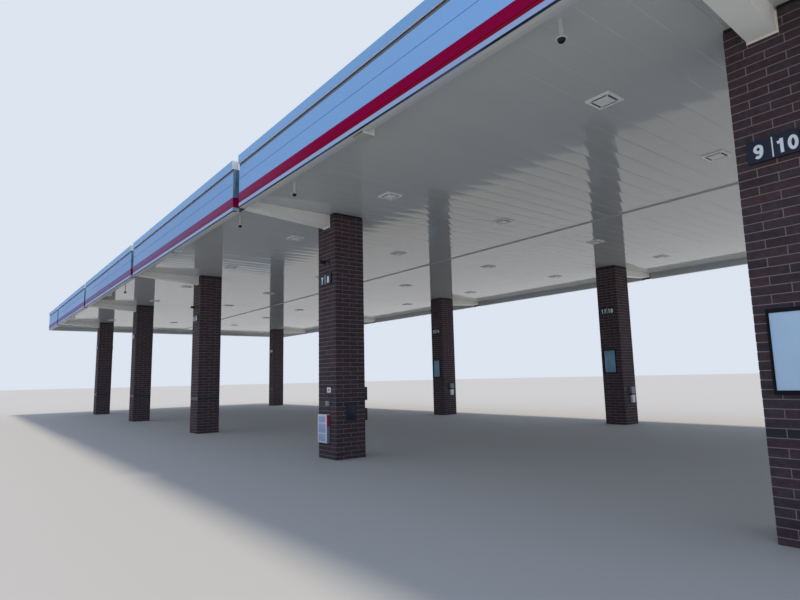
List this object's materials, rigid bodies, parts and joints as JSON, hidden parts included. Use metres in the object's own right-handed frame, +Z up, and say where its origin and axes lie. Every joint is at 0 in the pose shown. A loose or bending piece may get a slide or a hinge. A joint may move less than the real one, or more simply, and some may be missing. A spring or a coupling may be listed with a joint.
{
  "type": "filling station canopy, scale model at 1:2",
  "caption": "Flat rectangular filling station canopy on two rows of square brick piers, with a white soffit, a banded metal fascia and box outriggers; a 1:2 scale model.",
  "frame": {"origin": "ground level under the middle of the roof", "axes": "+X along the canopy towards its right end, +Y across it towards the far side, +Z up"},
  "size_m": [23.552, 8.756, 3.39],
  "materials": {
    "brick": "matt fired clay brick in mortar",
    "dark_steel": "matt dark paint",
    "sealant": "matt sealant",
    "white_soffit": "gloss white baked coating",
    "primed_steel": "grey primer",
    "dark_joint": "satin dark blue",
    "white_trim": "satin white",
    "red_band": "gloss red coated panel",
    "silver_panel": "satin composite panel",
    "coping": "satin white",
    "fitting_white": "satin white",
    "lens": "frosted",
    "dark_dome": "smoked polycarbonate",
    "black_plate": "satin black"
  },
  "bodies": {
    "root": {"pier_near_1": "brick", "pier_near_2": "brick", "pier_near_3": "brick", "pier_near_4": "brick", "pier_near_5": "brick", "pier_far_1": "brick", "pier_far_2": "brick", "pier_far_3": "brick", "pier_far_4": "brick", "pier_far_5": "brick", "pier_collars": "dark_steel", "beam_seals": "sealant", "steel_posts": "dark_steel", "outrigger_beams": "white_soffit", "main_beams": "primed_steel", "purlins": "primed_steel", "deck_near": "white_soffit", "deck_far": "white_soffit", "gutter": "white_soffit", "edge_channels": "primed_steel", "fascia_studs": "primed_steel", "joint_backs": "dark_joint", "closure_near": "white_trim", "closure_right": "white_trim", "closure_far": "white_trim", "closure_left": "white_trim", "red_band_near": "red_band", "red_band_right": "red_band", "red_band_far": "red_band", "red_band_left": "red_band", "silver_panels_near": "silver_panel", "silver_panels_right": "silver_panel", "silver_panels_far": "silver_panel", "silver_panels_left": "silver_panel", "coping_near": "coping", "coping_right": "coping", "coping_far": "coping", "coping_left": "coping", "light_fittings": "fitting_white", "light_lenses": "lens", "dome_cameras": "fitting_white", "camera_domes": "dark_dome", "edge_boxes": "fitting_white", "number_plates": "black_plate", "poster_frames": "black_plate", "pier_cabinets": "fitting_white"}
  },
  "joints": []
}
